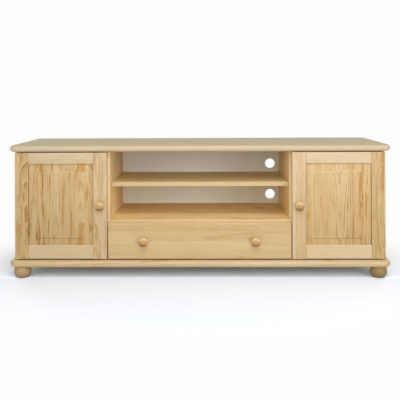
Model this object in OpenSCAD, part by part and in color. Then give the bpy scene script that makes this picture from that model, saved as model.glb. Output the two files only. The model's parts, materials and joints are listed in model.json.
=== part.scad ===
// Pine television lowboard: two framed doors, two open bays and one wide drawer.
// Lengths are in millimetres. X runs to the right, the front faces -Y and Z runs up.
// The origin is on the floor, below the middle of the whole object.

/* [Boards] */
// Length of the top board and of the base board
board_w = 1610; // [1400:10:1900]
// Depth of the top board and of the base board
board_d = 430; // [410:5:520]
// Thickness of the top board, whose edges are fully rounded
board_t = 28; // [24:1:34]
// Thickness of the base board, whose edges are fully rounded
base_t = 32; // [28:1:36]
// Radius of the front corners of both boards, seen from above
board_corner_r = 32; // [26:1:60]
// How far both boards reach past the side panels
side_overhang = 25; // [12:1:40]
// How far both boards reach in front of the side panels
front_overhang = 28; // [24:1:45]

/* [Carcass] */
// Height of the panels between the base board and the top board
carcass_h = 456; // [420:2:560]
// Thickness of the side panels, the dividers and the deck
panel_t = 18; // [16:1:22]
// Clear width of the open bays between the dividers
bay_w = 760; // [640:10:900]
// Clear height of the drawer opening, from the base board to the deck
drawer_opening_h = 149; // [145:1:180]
// Thickness of the shelves
shelf_t = 18; // [14:1:20]
// Distance from the front of the panels to the front of a shelf
shelf_setback = 35; // [10:1:60]
// Height of the middle shelf's underside above the deck
center_shelf_up = 135; // [110:1:150]
// Height of the side shelves' underside above the base board
side_shelf_up = 220; // [160:1:260]
// Play between the end of a shelf and the panel beside it
shelf_play = 1; // [0.5:0.25:2]
// Softened front edges of the panels
panel_edge_r = 1.5; // [0.5:0.25:3]

/* [Back panel] */
// Thickness of the hardboard back
back_t = 3; // [2.5:0.5:5]
// Distance from the rear edge of the panels to the back of the hardboard
back_inset = 6.5; // [5:0.5:12]
// Depth of the grooves that hold the hardboard
back_groove = 6; // [4:0.5:8]
// Diameter of the two cable holes
cable_hole_d = 46; // [30:1:70]
// Distance from the right divider to the middle of the cable holes
cable_hole_in = 42; // [40:1:120]
// Height of the upper cable hole above the middle shelf
cable_upper_up = 40; // [38:1:60]
// Height of the lower cable hole above the deck
cable_lower_up = 44; // [38:1:70]

/* [Feet] */
// Largest diameter of a turned foot
foot_d = 72; // [64:1:86]
// Height of a turned foot
foot_h = 49; // [44:1:60]
// Distance from the front and the ends of the base board to a foot's axis
foot_inset = 46; // [44:1:70]
// Diameter of the bolt that holds a foot
foot_bolt_d = 8; // [6:1:10]
// Height of a foot's widest place
foot_belly_up = 25; // [20:1:29]
// Radius of a foot's curve below its widest place
foot_low_r = 30; // [30:1:34]
// Radius of a foot's curve above its widest place
foot_high_r = 38; // [36:1:90]
// Length of the bolt in the foot
foot_bolt_in_foot = 30; // [20:1:38]
// Length of the bolt in the base board
foot_bolt_in_board = 20; // [12:1:21]
// Clearance round the bolt
foot_bolt_play = 0.1; // [0.05:0.05:0.3]

/* [Joinery] */
// Diameter of the wooden dowels
dowel_d = 8; // [6:1:10]
// Length of a dowel in the end of a panel
dowel_in_end = 18; // [12:1:24]
// Depth of a dowel in the face of a board
dowel_in_face = 12; // [8:1:13]
// Empty length behind each end of a dowel
dowel_end_play = 0.5; // [0.25:0.25:1]
// Distance from the front and rear of a panel to its dowels
dowel_inset = 60; // [45:5:120]
// Diameter of the shelf pins
pin_d = 5; // [4:0.5:6]
// Depth of a shelf pin in a panel
pin_in = 8; // [5:0.5:8]
// Length of a shelf pin under a shelf
pin_out = 9; // [6:0.5:14]
// Distance from the front and rear of a shelf to its pins
pin_inset = 45; // [30:5:100]
// Height between the spare holes for shelf pins
pin_pitch = 32; // [25:1:40]

/* [Doors] */
// Thickness of the doors and of the drawer front
door_t = 20; // [18:1:24]
// Gap between the back of a closed door and the panels
door_back_gap = 2.5; // [2:0.25:3.5]
// Gap between the top board and a door
door_top_gap = 3; // [2:0.5:5]
// Gap between the base board and a door or the drawer front
door_bottom_gap = 5; // [3:0.5:8]
// Distance from the outer face of a side panel to the edge of a door
door_side_inset = 0.5; // [0:0.25:3]
// Gap between a door and the drawer front
door_drawer_gap = 4; // [3:0.5:6]
// Width of the stiles
stile_w = 58; // [50:1:75]
// Height of the top rail
top_rail_h = 47; // [40:1:75]
// Height of the bottom rail
bottom_rail_h = 58; // [44:1:80]
// Thickness of the tongue round the panel and width of the groove that holds it
tongue_t = 7; // [6:0.5:8]
// Wood in front of the groove
tongue_front = 7; // [6:0.5:8]
// Depth of the groove in stiles and rails
tongue_groove = 10; // [8:0.5:14]
// Play left for the panel at the bottom of the groove
panel_play = 1; // [0.5:0.25:2]
// Flat border beside the raised field
field_border_x = 37; // [20:1:55]
// Flat border above the raised field
field_border_top = 33; // [20:1:55]
// Flat border below the raised field
field_border_bottom = 26; // [20:1:55]
// Height of the raised field above its border
field_rise = 2.5; // [1.5:0.25:4]
// Rounded outer edges of the frames and of the drawer front
frame_edge_r = 3; // [2.5:0.25:4.5]
// Softened inner edges of the frames
frame_inner_r = 1.5; // [0.5:0.25:2.5]

/* [Door pivots] */
// Distance from a door's outer edge to its pivot axis
pivot_from_edge = 7.5; // [7:0.25:9]
// Distance from a door's back to its pivot axis
pivot_from_back = 8; // [7.5:0.25:9]
// Diameter of the pivot pins
pivot_pin_d = 6; // [5:0.5:7]
// Length of a pivot pin in its bush
pivot_pin_l = 10; // [8:0.5:14]
// Outer diameter of the bushes
pivot_bush_d = 10; // [9:0.5:12]
// Length of the bushes
pivot_bush_l = 14; // [12:0.5:20]
// Running clearance round and above a pivot pin
pivot_play = 0.06; // [0.03:0.01:0.1]
// Length of a pivot plate
pivot_plate_l = 52; // [40:1:60]
// Width of a pivot plate
pivot_plate_w = 15; // [12:0.5:18]
// Thickness of a pivot plate, let in flush
pivot_plate_t = 2.5; // [2:0.25:4]
// Diameter of the thrust collar under a door
pivot_collar_d = 11; // [9:0.5:14]

/* [Magnetic catches] */
// Width of a catch
catch_w = 14; // [10:1:20]
// Height of a catch
catch_h = 12; // [10:1:16]
// Length of a catch
catch_l = 42; // [34:1:60]
// Softened corners of a catch
catch_edge_r = 1; // [0.5:0.25:2]
// Thickness of the steel plate on a door
strike_t = 1.2; // [1:0.1:1.5]
// Gap between a catch and its steel plate
catch_gap = 0.5; // [0.4:0.1:1]

/* [Knobs] */
// Diameter of a knob's head
knob_d = 38; // [30:1:46]
// How far a knob stands out
knob_l = 31; // [26:1:40]
// Thickness of a knob's head
knob_head_t = 20; // [16:1:24]
// Radius of the low dome on a knob's face
knob_dome_r = 60; // [45:5:120]
// Diameter of a knob's neck
knob_neck_d = 17; // [12:1:20]
// Diameter of a knob's foot
knob_foot_d = 24; // [20:1:28]
// Thickness of a knob's foot
knob_foot_t = 3; // [2:0.5:5]
// Distance between the two drawer knobs
drawer_knob_pitch = 472; // [300:4:560]
// Diameter of the knob screws
screw_d = 4; // [3:0.5:5]
// Diameter of a screw's head
screw_head_d = 8.5; // [7:0.5:10]
// Thickness of a screw's head
screw_head_t = 2.2; // [1.8:0.1:2.5]
// Width of the cross slot in a screw's head
screw_slot_w = 0.9; // [0.6:0.1:1.2]
// Depth of the counterbore for a knob screw's head
screw_sink = 3; // [2.5:0.25:5]
// Length of a screw in its knob
screw_in_knob = 16; // [10:1:22]
// Clearance round a screw
screw_play = 0.1; // [0.05:0.05:0.3]

/* [Drawer] */
// How far the drawer front covers the dividers
drawer_side_lap = 6; // [4:0.5:9]
// How far the drawer front covers the edge of the deck
drawer_top_lap = 5; // [3:0.5:9]
// Thickness of the drawer's sides and ends
drawer_wall_t = 12; // [10:0.5:15]
// Height of the drawer's sides
drawer_wall_h = 104; // [80:1:112]
// Length of the drawer box
drawer_box_l = 350; // [300:5:360]
// Thickness of the drawer's hardboard bottom
drawer_bottom_t = 3; // [3:0.5:5]
// Height of the drawer bottom above the lower edge of the sides
drawer_bottom_up = 9; // [8:0.5:16]
// Depth of the grooves that hold the drawer bottom
drawer_groove = 6; // [4:0.5:7]
// Length of the screws that hold the front on its box
front_screw_l = 26; // [20:1:28]
// Distance from the ends of the drawer box to its outer front screws
front_screw_in = 60; // [40:5:90]
// Height of the lower front screws above the lower edge of the box
front_screw_low = 28; // [24:1:36]
// Distance from the upper edge of the box to the upper front screws
front_screw_high = 22; // [16:1:28]
// Diameter of the hole in the drawer box that clears a knob screw's head
knob_access_d = 13; // [12:0.5:16]

/* [Runners] */
// Space for a runner between the drawer box and a divider
runner_gap = 12.5; // [12.5:0.25:14]
// Height of the runners' lower face above the base board
runner_up = 12; // [9:0.5:16]
// Thickness of the runners' sheet steel
runner_sheet = 1.2; // [1:0.1:1.4]
// Clear height inside a cabinet runner
runner_inner_h = 24; // [23:0.5:28]
// Width of a cabinet runner's flanges
runner_flange = 9.2; // [8.5:0.1:9.6]
// Diameter of the rollers
roller_d = 20; // [18:0.5:20.5]
// Width of the rollers
roller_w = 6; // [5:0.25:6.25]
// Clearance between a roller and what it rolls on
roller_play = 0.1; // [0.05:0.05:0.2]
// Clearance between a roller's flat side and its runner
roller_side_play = 1; // [0.6:0.1:1.2]
// Diameter of the rollers' axles
axle_d = 5; // [4:0.5:7]
// Clearance between a roller and its axle
axle_play = 0.05; // [0.03:0.01:0.1]
// Diameter of an axle's head
axle_head_d = 8; // [8:0.5:10]
// Thickness of an axle's head
axle_head_t = 0.8; // [0.6:0.1:1]
// Distance from the end of a runner to its roller's axis
roller_inset = 14; // [12:1:20]
// Width of the lip under the drawer's side
rail_lip = 11; // [8:0.5:12]
// Height of the drawer rail's lower face above the cabinet runner's lower face
rail_up = 3; // [2:0.5:5]
// Gap between the end of the drawer rail's track and its roller
track_gap = 2; // [1:0.5:4]

/* [Hidden] */

$fn = 64;
LEFT = -1;
RIGHT = 1;
cut = 1;

// Levels
base_z = foot_h;
floor_z = base_z + base_t;
ceiling_z = floor_z + carcass_h;
top_z = ceiling_z + board_t;
deck_z = floor_z + drawer_opening_h;
deck_top_z = deck_z + panel_t;
center_shelf_z = deck_top_z + center_shelf_up;
side_shelf_z = floor_z + side_shelf_up;

// Widths, measured from the middle
body_x = board_w / 2 - side_overhang;
side_in_x = body_x - panel_t;
bay_x = bay_w / 2;
divider_out_x = bay_x + panel_t;
drawer_front_x = bay_x + drawer_side_lap;
door_in_x = drawer_front_x + door_drawer_gap;
door_out_x = body_x - door_side_inset;

// Depths, measured from the front of the panels
rear_y = board_d - front_overhang;
back_panel_y = rear_y - back_inset - back_t;
door_front_y = -door_back_gap - door_t;
reach_y = door_front_y - knob_l;
carcass_y = -(rear_y + reach_y) / 2;

// Doors
door_z = floor_z + door_bottom_gap;
door_top_z = ceiling_z - door_top_gap;
door_h = door_top_z - door_z;
opening_in_x = door_in_x + stile_w;
opening_out_x = door_out_x - stile_w;
opening_z = door_z + bottom_rail_h;
opening_top_z = door_top_z - top_rail_h;
tongue_l = tongue_groove - panel_play;
border_y = door_front_y + tongue_front;
knob_x = door_in_x + stile_w / 2;
knob_z = (door_z + door_top_z) / 2;
pivot_x = door_out_x - pivot_from_edge;
pivot_y = -door_back_gap - pivot_from_back;

// Catches
catch_z = ceiling_z - catch_h;
catch_x = divider_out_x;
catch_y = -door_back_gap + strike_t + catch_gap;

// Drawer
drawer_front_top_z = deck_z + drawer_top_lap;
drawer_knob_z = (door_z + drawer_front_top_z) / 2;
drawer_box_x = bay_x - runner_gap;
drawer_box_y = -door_back_gap;
runner_z = floor_z + runner_up;
track_z = runner_z + runner_sheet;
roller_z = track_z + roller_play + roller_d / 2;
rail_top_z = roller_z + roller_d / 2 + roller_play;
rail_z = runner_z + rail_up;
drawer_box_z = rail_z + runner_sheet;
drawer_bottom_z = drawer_box_z + drawer_bottom_up;
front_roller_y = roller_inset;
rear_roller_y = drawer_box_y + drawer_box_l - roller_inset;
runner_in_x = bay_x - runner_sheet;
front_roller_x = runner_in_x - roller_side_play - roller_w;
rear_roller_x = drawer_box_x + runner_sheet + roller_side_play;
front_screw_xs = [-drawer_box_x + front_screw_in, 0, drawer_box_x - front_screw_in];
front_screw_zs = [drawer_box_z + front_screw_low, drawer_box_z + drawer_wall_h - front_screw_high];

// Feet
foot_x = board_w / 2 - foot_inset;
foot_front_y = -front_overhang + foot_inset;
foot_back_y = rear_y - foot_inset;
foot_places = [
    [-foot_x, foot_front_y], [foot_x, foot_front_y],
    [-foot_x, foot_back_y], [foot_x, foot_back_y]
];

// Dowels and shelf pins: places along the depth, and the middle of each upright panel
dowel_ys = [dowel_inset, rear_y - dowel_inset];
pin_ys = [shelf_setback + pin_inset, back_panel_y - pin_inset];
side_mid_x = body_x - panel_t / 2;
divider_mid_x = bay_x + panel_t / 2;
upright_xs = [-side_mid_x, -divider_mid_x, divider_mid_x, side_mid_x];

// Cable holes, one behind each open bay
cable_hole_x = bay_x - cable_hole_in;
cable_hole_zs = [center_shelf_z + shelf_t + cable_upper_up, deck_top_z + cable_lower_up];

// Colours of the finishes
pine = "burlywood";
pine_light = "wheat";
pine_end = "tan";
hardboard = "gainsboro";
steel = "silver";
nylon = "whitesmoke";
enamel = "ivory";
plastic = "antiquewhite";
beech = "navajowhite";

// Places its children in the object's frame: they are drawn from the front of the panels.
module placed() {
    translate([0, carcass_y, 0]) children();
}

// Turns what is drawn for the right half into the part of either side.
module handed(side) {
    mirror([side == LEFT ? 1 : 0, 0, 0]) children();
}

// Runs a Y-Z outline along X.
module along_x(x0, x1) {
    translate([x0, 0, 0]) rotate([90, 0, 90]) linear_extrude(x1 - x0) children();
}

// Runs an X-Z outline along Y.
module along_y(y0, y1) {
    translate([0, y1, 0]) rotate([90, 0, 0]) linear_extrude(y1 - y0) children();
}

// Runs an X-Y outline along Z.
module along_z(z0, z1) {
    translate([0, 0, z0]) linear_extrude(z1 - z0) children();
}

// A box from one corner to the other.
module block(low, high) {
    translate(low) cube(high - low);
}

// A round bar along Y.
module bar_y(x, y0, z, l, d) {
    translate([x, y0, z]) rotate([-90, 0, 0]) cylinder(h = l, d = d);
}

// A round bar along X.
module bar_x(x0, y, z, l, d) {
    translate([x0, y, z]) rotate([0, 90, 0]) cylinder(h = l, d = d);
}

// Outline with four rounded corners: r_low at the low x side, r_high at the high x side.
module soft_outline(x0, y0, x1, y1, r_low, r_high) {
    translate([x0 + r_low, y0]) square([x1 - x0 - r_low - r_high, y1 - y0]);
    translate([x0, y0 + r_low]) square([r_low, y1 - y0 - 2 * r_low]);
    translate([x1 - r_high, y0 + r_high]) square([r_high, y1 - y0 - 2 * r_high]);
    for (y = [y0 + r_low, y1 - r_low]) translate([x0 + r_low, y]) circle(r_low);
    for (y = [y0 + r_high, y1 - r_high]) translate([x1 - r_high, y]) circle(r_high);
}

// Outline whose two corners at the low y side are rounded.
module soft_front(x0, y0, x1, y1, r) {
    translate([x0, y0 + r]) square([x1 - x0, y1 - y0 - r]);
    translate([x0 + r, y0]) square([x1 - x0 - 2 * r, r]);
    for (x = [x0 + r, x1 - r]) translate([x, y0 + r]) circle(r);
}

// Half-round edge of a board of thickness t, from its tip at zero to the given width.
module nose_outline(w, t) {
    translate([t / 2, t / 2]) circle(d = t);
    translate([t / 2, 0]) square([w - t / 2, t]);
}

// Board with a full round edge at the front and both ends, and rounded front corners.
module bullnosed_board(z, t) {
    straight_x = board_w / 2 - board_corner_r;
    corner_y = -front_overhang + board_corner_r;
    translate([0, 0, z]) {
        along_x(-straight_x, straight_x)
            translate([-front_overhang, 0]) nose_outline(board_d, t);
        for (side = [LEFT, RIGHT]) handed(side) {
            along_y(corner_y, rear_y)
                translate([board_w / 2, 0]) mirror([1, 0]) nose_outline(board_corner_r, t);
            translate([straight_x, corner_y, 0]) rotate([0, 0, -90])
                rotate_extrude(angle = 90) intersection() {
                    translate([board_corner_r, 0]) mirror([1, 0]) nose_outline(board_corner_r, t);
                    square([board_corner_r, t]);
                }
        }
    }
}

// Upright dowels between the panels and a board, or the bores for them.
module upright_dowels(play) {
    for (x = upright_xs, y = dowel_ys) {
        translate([x, y, floor_z - dowel_in_face - play])
            cylinder(h = dowel_in_face + dowel_in_end + 2 * play, d = dowel_d);
        translate([x, y, ceiling_z - dowel_in_end - play])
            cylinder(h = dowel_in_face + dowel_in_end + 2 * play, d = dowel_d);
    }
}

// Level dowels between a divider and the deck, or the bores for them.
module deck_dowels(play) {
    for (side = [LEFT, RIGHT], y = dowel_ys) handed(side)
        bar_x(bay_x - dowel_in_end - play, y, deck_z + panel_t / 2,
            dowel_in_face + dowel_in_end + 2 * play, dowel_d);
}

// Pins under one end of a shelf: x is the panel's face, and way points out of the panel.
module pins_at(x, way, z) {
    for (y = pin_ys)
        bar_x(way > 0 ? x - pin_in : x - pin_out, y, z - pin_d / 2, pin_in + pin_out, pin_d);
}

// Rows of bores for shelf pins in a panel's face.
module pin_bores(x, way, z) {
    for (y = pin_ys, k = [-1:1])
        bar_x(way > 0 ? x - pin_in : x - cut, y, z - pin_d / 2 + k * pin_pitch, pin_in + cut, pin_d);
}

// Room for the hardboard back, with its groove depth on all four sides.
module back_slot() {
    block([-side_in_x - back_groove, back_panel_y, floor_z - back_groove],
        [side_in_x + back_groove, back_panel_y + back_t, ceiling_z + back_groove]);
}

// Seat of the pivot plates in the top board and the base board.
module pivot_seats() {
    for (side = [LEFT, RIGHT]) handed(side) {
        pivot_plate_outline(floor_z - pivot_plate_t, floor_z + cut);
        pivot_plate_outline(ceiling_z - cut, ceiling_z + pivot_plate_t);
    }
}

// Slotted shape of a pivot plate, round at both ends.
module pivot_plate_outline(z0, z1) {
    inner_x = pivot_x - pivot_plate_l + pivot_plate_w;
    along_z(z0, z1) {
        for (x = [pivot_x, inner_x]) translate([x, pivot_y]) circle(d = pivot_plate_w);
        translate([inner_x, pivot_y - pivot_plate_w / 2]) square([pivot_x - inner_x, pivot_plate_w]);
    }
}

module top_board() {
    color(pine) placed() difference() {
        bullnosed_board(ceiling_z, board_t);
        back_slot();
        upright_dowels(dowel_end_play);
        pivot_seats();
    }
}

module base_board() {
    color(pine) placed() difference() {
        bullnosed_board(base_z, base_t);
        back_slot();
        upright_dowels(dowel_end_play);
        pivot_seats();
        foot_bolt_bores();
    }
}

// Side panel with its groove for the back, its dowel bores and its shelf pin holes.
module side_panel(side) {
    color(pine) placed() difference() {
        handed(side) along_z(floor_z, ceiling_z)
            soft_front(side_in_x, 0, body_x, rear_y, panel_edge_r);
        back_slot();
        upright_dowels(dowel_end_play);
        handed(side) pin_bores(side_in_x, -1, side_shelf_z);
    }
}

// Divider that ends in front of the back panel.
module divider(side) {
    color(pine_light) placed() difference() {
        handed(side) along_z(floor_z, ceiling_z)
            soft_front(bay_x, 0, divider_out_x, back_panel_y, panel_edge_r);
        upright_dowels(dowel_end_play);
        deck_dowels(dowel_end_play);
        handed(side) pin_bores(divider_out_x, 1, side_shelf_z);
        handed(side) pin_bores(bay_x, -1, center_shelf_z);
    }
}

module drawer_deck() {
    color(pine_light) placed() difference() {
        along_x(-bay_x, bay_x)
            soft_rim(0, deck_z, back_panel_y, deck_top_z, panel_edge_r);
        deck_dowels(dowel_end_play);
    }
}

// Y-Z outline of a level board whose front edge is softened.
module soft_rim(y0, z0, y1, z1, r) {
    translate([y0 + r, z0]) square([y1 - y0 - r, z1 - z0]);
    translate([y0, z0 + r]) square([r, z1 - z0 - 2 * r]);
    for (z = [z0 + r, z1 - r]) translate([y0 + r, z]) circle(r);
}

// Loose shelf between two panel faces.
module shelf(x0, x1, z) {
    color(pine_light) placed()
        along_x(x0 + shelf_play, x1 - shelf_play)
            soft_rim(shelf_setback, z, back_panel_y - shelf_play, z + shelf_t, panel_edge_r);
}

// Hardboard back with its cable holes.
module back_panel() {
    color(hardboard) placed() difference() {
        back_slot();
        for (z = cable_hole_zs)
            bar_y(cable_hole_x, back_panel_y - cut, z, back_t + 2 * cut, cable_hole_d);
    }
}

// Turned foot: a low round belly below and a longer curve above it.
module turned_foot(x, y) {
    color(pine_end) placed() translate([x, y, 0]) difference() {
        rotate_extrude($fn = 96) {
            intersection() {
                translate([foot_d / 2 - foot_low_r, foot_belly_up]) circle(foot_low_r);
                square([foot_d / 2, foot_belly_up]);
            }
            intersection() {
                translate([foot_d / 2 - foot_high_r, foot_belly_up]) circle(foot_high_r);
                translate([0, foot_belly_up]) square([foot_d / 2, foot_h - foot_belly_up]);
            }
        }
        translate([0, 0, foot_h - foot_bolt_in_foot - cut])
            cylinder(h = foot_bolt_in_foot + 2 * cut, d = foot_bolt_d + 2 * foot_bolt_play);
    }
}

// Bores for the foot bolts in the base board.
module foot_bolt_bores() {
    for (p = foot_places) translate([p[0], p[1], base_z - cut])
        cylinder(h = foot_bolt_in_board + 2 * cut, d = foot_bolt_d + 2 * foot_bolt_play);
}

module foot_bolts() {
    color(steel) placed() for (p = foot_places)
        translate([p[0], p[1], base_z - foot_bolt_in_foot])
            cylinder(h = foot_bolt_in_foot + foot_bolt_in_board, d = foot_bolt_d);
}

module shelf_pins() {
    color(steel) placed() for (side = [LEFT, RIGHT]) handed(side) {
        pins_at(bay_x, -1, center_shelf_z);
        pins_at(divider_out_x, 1, side_shelf_z);
        pins_at(side_in_x, -1, side_shelf_z);
    }
}

module carcass_dowels() {
    color(beech) placed() {
        upright_dowels(0);
        deck_dowels(0);
    }
}

// Pivot plates let into both boards: the lower pin has the collar that carries the door.
module pivot_plates(side) {
    collar_h = door_bottom_gap - pivot_play;
    color(steel) placed() handed(side) {
        pivot_plate_outline(floor_z - pivot_plate_t, floor_z);
        pivot_plate_outline(ceiling_z, ceiling_z + pivot_plate_t);
        translate([pivot_x, pivot_y, floor_z]) {
            cylinder(h = collar_h, d = pivot_collar_d);
            cylinder(h = door_bottom_gap + pivot_pin_l, d = pivot_pin_d);
        }
        translate([pivot_x, pivot_y, ceiling_z - door_top_gap - pivot_pin_l])
            cylinder(h = door_top_gap + pivot_pin_l, d = pivot_pin_d);
    }
}

// Magnetic catches under the top board, beside the dividers.
module magnetic_catches() {
    color(plastic) placed() for (side = [LEFT, RIGHT]) handed(side)
        along_z(catch_z, ceiling_z)
            soft_front(catch_x, catch_y, catch_x + catch_w, catch_y + catch_l, catch_edge_r);
}

// Cabinet runner: a steel channel whose web is screwed to the divider, with its roller's axle.
module cabinet_runner(side) {
    inner_x = bay_x - runner_flange;
    upper_z = track_z + runner_inner_h;
    axle_x = front_roller_x - roller_play;
    color(enamel) placed() handed(side) {
        block([runner_in_x, 0, runner_z], [bay_x, drawer_box_l, upper_z + runner_sheet]);
        block([inner_x, 0, runner_z], [bay_x, drawer_box_l, track_z]);
        block([inner_x, 2 * roller_inset, upper_z], [bay_x, drawer_box_l, upper_z + runner_sheet]);
        bar_x(axle_x, front_roller_y, roller_z, runner_in_x - axle_x, axle_d);
        bar_x(axle_x - axle_head_t, front_roller_y, roller_z, axle_head_t, axle_head_d);
    }
}

// Nylon roller, bored for its axle.
module roller(side, x, y) {
    color(nylon) placed() handed(side) difference() {
        bar_x(x, y, roller_z, roller_w, roller_d);
        bar_x(x - cut, y, roller_z, roller_w + 2 * cut, axle_d + 2 * axle_play);
    }
}

// Drawer rail: web on the drawer's side, lip under it, and the track that runs on the front roller.
module drawer_rail(side) {
    web_x = drawer_box_x + runner_sheet;
    track_end_y = rear_roller_y - roller_d / 2 - track_gap;
    end_y = drawer_box_y + drawer_box_l;
    axle_end_x = rear_roller_x + roller_w + roller_play;
    color(enamel) placed() handed(side) {
        block([drawer_box_x, drawer_box_y, rail_z], [web_x, end_y, rail_top_z + runner_sheet]);
        block([drawer_box_x - rail_lip, drawer_box_y, rail_z], [web_x, end_y, drawer_box_z]);
        block([drawer_box_x, drawer_box_y, rail_top_z],
            [bay_x - 2 * runner_sheet, track_end_y, rail_top_z + runner_sheet]);
        bar_x(web_x, rear_roller_y, roller_z, axle_end_x - web_x, axle_d);
        bar_x(axle_end_x, rear_roller_y, roller_z, axle_head_t, axle_head_d);
    }
}

// Outline of a stile, in plan, grooved on its opening side. x0 is that side.
module stile(side, x0, x1, r0, r1, groove_x0) {
    color(pine_light) placed() handed(side) difference() {
        along_z(door_z, door_top_z)
            soft_outline(x0, door_front_y, x1, -door_back_gap, r0, r1);
        block([groove_x0, border_y, door_z - cut],
            [groove_x0 + tongue_groove + cut, border_y + tongue_t, door_top_z + cut]);
        children();
    }
}

// Stile that carries the bushes.
module outer_stile(side) {
    stile(side, opening_out_x, door_out_x, frame_inner_r, frame_edge_r, opening_out_x - cut) {
        for (z = [door_z - cut, door_top_z - pivot_bush_l])
            translate([pivot_x, pivot_y, z]) cylinder(h = pivot_bush_l + cut, d = pivot_bush_d);
    }
}

// Stile that carries the knob.
module inner_stile(side) {
    stile(side, door_in_x, opening_in_x, frame_edge_r, frame_inner_r, opening_in_x - tongue_groove)
        knob_screw_bore(knob_x, knob_z, door_t);
}

// Y-Z outline of a rail: the groove is on the opening side.
module rail_outline(z0, z1, r0, r1, groove_z0) {
    difference() {
        rotate(90) soft_outline(z0, door_back_gap, z1, -door_front_y, r0, r1);
        translate([border_y, groove_z0]) square([tongue_t, tongue_groove + cut]);
    }
}

// Rail with a stub tenon at each end that fills the stiles' groove.
module rail(side, z0, z1, r0, r1, groove_z0, tenon_z0) {
    tenon_h = z1 - z0 - tongue_groove - frame_edge_r;
    color(pine) placed() handed(side) {
        along_x(opening_in_x, opening_out_x) rail_outline(z0, z1, r0, r1, groove_z0);
        for (x = [opening_in_x - tongue_groove, opening_out_x])
            translate([x, border_y, tenon_z0]) cube([tongue_groove, tongue_t, tenon_h]);
    }
}

module top_rail(side) {
    rail(side, opening_top_z, door_top_z, frame_inner_r, frame_edge_r,
        opening_top_z - cut, opening_top_z + tongue_groove);
}

module bottom_rail(side) {
    rail(side, door_z, opening_z, frame_edge_r, frame_inner_r,
        opening_z - tongue_groove, door_z + frame_edge_r);
}

// Raised and fielded panel: a flat border in the groove and a field with rounded edges.
module door_panel(side) {
    field_x0 = opening_in_x + field_border_x;
    field_x1 = opening_out_x - field_border_x;
    field_z0 = opening_z + field_border_bottom;
    field_z1 = opening_top_z - field_border_top;
    color(pine_light) placed() handed(side) {
        block([opening_in_x - tongue_l, border_y, opening_z - tongue_l],
            [opening_out_x + tongue_l, border_y + tongue_t, opening_top_z + tongue_l]);
        intersection() {
            along_z(field_z0, field_z1)
                field_outline(field_x0, field_x1);
            along_x(field_x0, field_x1) mirror([1, -1])
                field_outline(field_z0, field_z1);
        }
    }
}

// Section of the raised field, drawn with its depth along the second axis.
module field_outline(a0, a1) {
    r = field_rise;
    intersection() {
        union() {
            translate([a0 + r, border_y - r]) square([a1 - a0 - 2 * r, 2 * r]);
            for (a = [a0 + r, a1 - r]) translate([a, border_y]) circle(r);
        }
        translate([a0, border_y - r]) square([a1 - a0, 2 * r]);
    }
}

// Turned knob: foot, neck and a round head with a low dome. Its axis runs along Y.
module turned_knob(x, z) {
    head_r = knob_head_t / 2;
    head_z = knob_l - head_r;
    neck_z = knob_l - knob_head_t;
    color(beech) placed() translate([x, door_front_y, z]) rotate([90, 0, 0]) difference() {
        rotate_extrude($fn = 72) {
            intersection() {
                union() {
                    translate([knob_d / 2 - head_r, head_z]) circle(head_r);
                    translate([0, neck_z]) square([knob_d / 2 - head_r, knob_head_t]);
                }
                translate([0, neck_z]) square([knob_d / 2, knob_head_t]);
                translate([0, knob_l - knob_dome_r]) circle(knob_dome_r);
            }
            square([knob_neck_d / 2, neck_z + head_r]);
            square([knob_foot_d / 2, knob_foot_t]);
        }
        translate([0, 0, -cut]) cylinder(h = screw_in_knob + 2 * cut, d = screw_d + 2 * screw_play);
    }
}

// Bore for a knob screw through wood of the given thickness, counterbored at the back.
module knob_screw_bore(x, z, t) {
    bar_y(x, door_front_y - cut, z, t + 2 * cut, screw_d + 2 * screw_play);
    bar_y(x, door_front_y + t - screw_sink, z, screw_sink + cut, screw_head_d + 2 * screw_play);
}

// Knob screw with its pan head let into the back of the wood.
module knob_screw(x, z, t) {
    seat_y = door_front_y + t - screw_sink;
    bar_y(x, door_front_y - screw_in_knob, z, t - screw_sink + screw_in_knob, screw_d);
    difference() {
        bar_y(x, seat_y, z, screw_head_t, screw_head_d);
        for (a = [0, 90]) translate([x, seat_y + screw_head_t, z]) rotate([0, a, 0])
            cube([screw_head_d / 2, screw_head_t, screw_slot_w], center = true);
    }
}

module door_knob_screw(side) {
    color(steel) placed() handed(side) knob_screw(knob_x, knob_z, door_t);
}

// Nylon bushes in the ends of the outer stile.
module door_bushes(side) {
    pin_hole = pivot_pin_d + 2 * pivot_play;
    color(nylon) placed() handed(side) for (z = [door_z, door_top_z - pivot_bush_l])
        translate([pivot_x, pivot_y, z]) difference() {
            cylinder(h = pivot_bush_l, d = pivot_bush_d);
            translate([0, 0, -cut]) cylinder(h = pivot_bush_l + 2 * cut, d = pin_hole);
        }
}

// Steel plate on the back of the inner stile, in front of the catch.
module door_strike(side) {
    color(steel) placed() handed(side)
        block([catch_x, -door_back_gap, catch_z - door_top_gap],
            [catch_x + catch_w, -door_back_gap + strike_t, ceiling_z - 2 * door_top_gap]);
}

module drawer_front() {
    color(pine) placed() difference() {
        intersection() {
            along_x(-drawer_front_x, drawer_front_x) rotate(90)
                soft_outline(door_z, door_back_gap, drawer_front_top_z, -door_front_y,
                    frame_edge_r, frame_edge_r);
            along_z(door_z, drawer_front_top_z)
                soft_outline(-drawer_front_x, door_front_y, drawer_front_x, -door_back_gap,
                    frame_edge_r, frame_edge_r);
        }
        for (side = [LEFT, RIGHT])
            knob_screw_bore(side * drawer_knob_pitch / 2, drawer_knob_z, door_t);
        drawer_front_screw_set(screw_play);
    }
}

// Screws that hold the front on its box, or the bores for them.
module drawer_front_screw_set(play) {
    seat_y = drawer_box_y + drawer_wall_t;
    for (x = front_screw_xs, z = front_screw_zs) {
        bar_y(x, seat_y - front_screw_l - play, z, front_screw_l + 2 * play, screw_d + 2 * play);
        bar_y(x, seat_y, z, screw_head_t, screw_head_d);
    }
}

module drawer_front_screws() {
    color(steel) placed() drawer_front_screw_set(0);
}

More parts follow.
